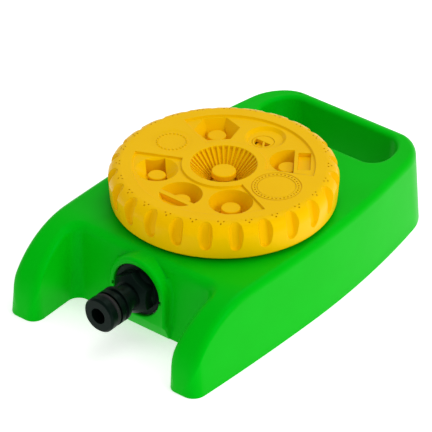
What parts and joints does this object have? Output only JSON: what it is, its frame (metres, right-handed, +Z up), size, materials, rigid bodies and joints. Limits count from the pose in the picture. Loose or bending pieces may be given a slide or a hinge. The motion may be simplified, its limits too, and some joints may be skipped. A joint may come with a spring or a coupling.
{
  "type": "turret lawn sprinkler",
  "caption": "Lawn sprinkler with a turning dial of spray patterns on a moulded base with a hand-hold and a click-on hose nose.",
  "frame": {"origin": "on the ground, in the middle of the overall length and width", "axes": "+Z up, +Y from the hose nose towards the hand-hold, +X to the right seen from the hose side"},
  "size_m": [0.115, 0.188, 0.0576],
  "materials": {
    "green_plastic": "satin",
    "yellow_plastic": "satin",
    "black_plastic": "satin",
    "white_plastic": "satin",
    "rubber": "matte",
    "steel": "satin"
  },
  "bodies": {
    "base": {"base_shell": "green_plastic", "manifold": "black_plastic", "hose_nose": "black_plastic", "nose_o_ring": "rubber", "inlet_washer": "rubber", "manifold_screws": "steel", "pivot_bush": "white_plastic", "seal_spring": "steel", "click_spring": "steel"},
    "seal": {"seal_carrier": "white_plastic", "valve_seal": "rubber"},
    "click": {"click_plunger": "white_plastic"},
    "dial": {"dial_cover": "yellow_plastic", "nozzle_plate": "yellow_plastic", "port_plate": "yellow_plastic", "chamber_gasket": "rubber", "dial_screws": "steel", "centre_button": "yellow_plastic", "swirl_insert": "yellow_plastic", "shower_disc": "yellow_plastic", "rain_disc": "yellow_plastic", "pivot_screw": "steel", "pivot_washer": "steel"}
  },
  "joints": [
    {"name": "dial_turn", "type": "hinge", "parent": "base", "child": "dial", "pos_m": [0, -0.006, 0.04], "axis": [0, 0, 1], "continuous": true},
    {"name": "seal_press", "type": "slide", "parent": "base", "child": "seal", "axis": [0, 0, 1], "range_m": [-0.0006, 0], "stiffness_N_per_m": 400, "springref_m": 0.002, "deforming": ["seal_spring"]},
    {"name": "click_slide", "type": "slide", "parent": "base", "child": "click", "axis": [0, 0, 1], "range_m": [0, 0.0008], "stiffness_N_per_m": 500, "springref_m": 0.002, "deforming": ["click_spring"]}
  ]
}
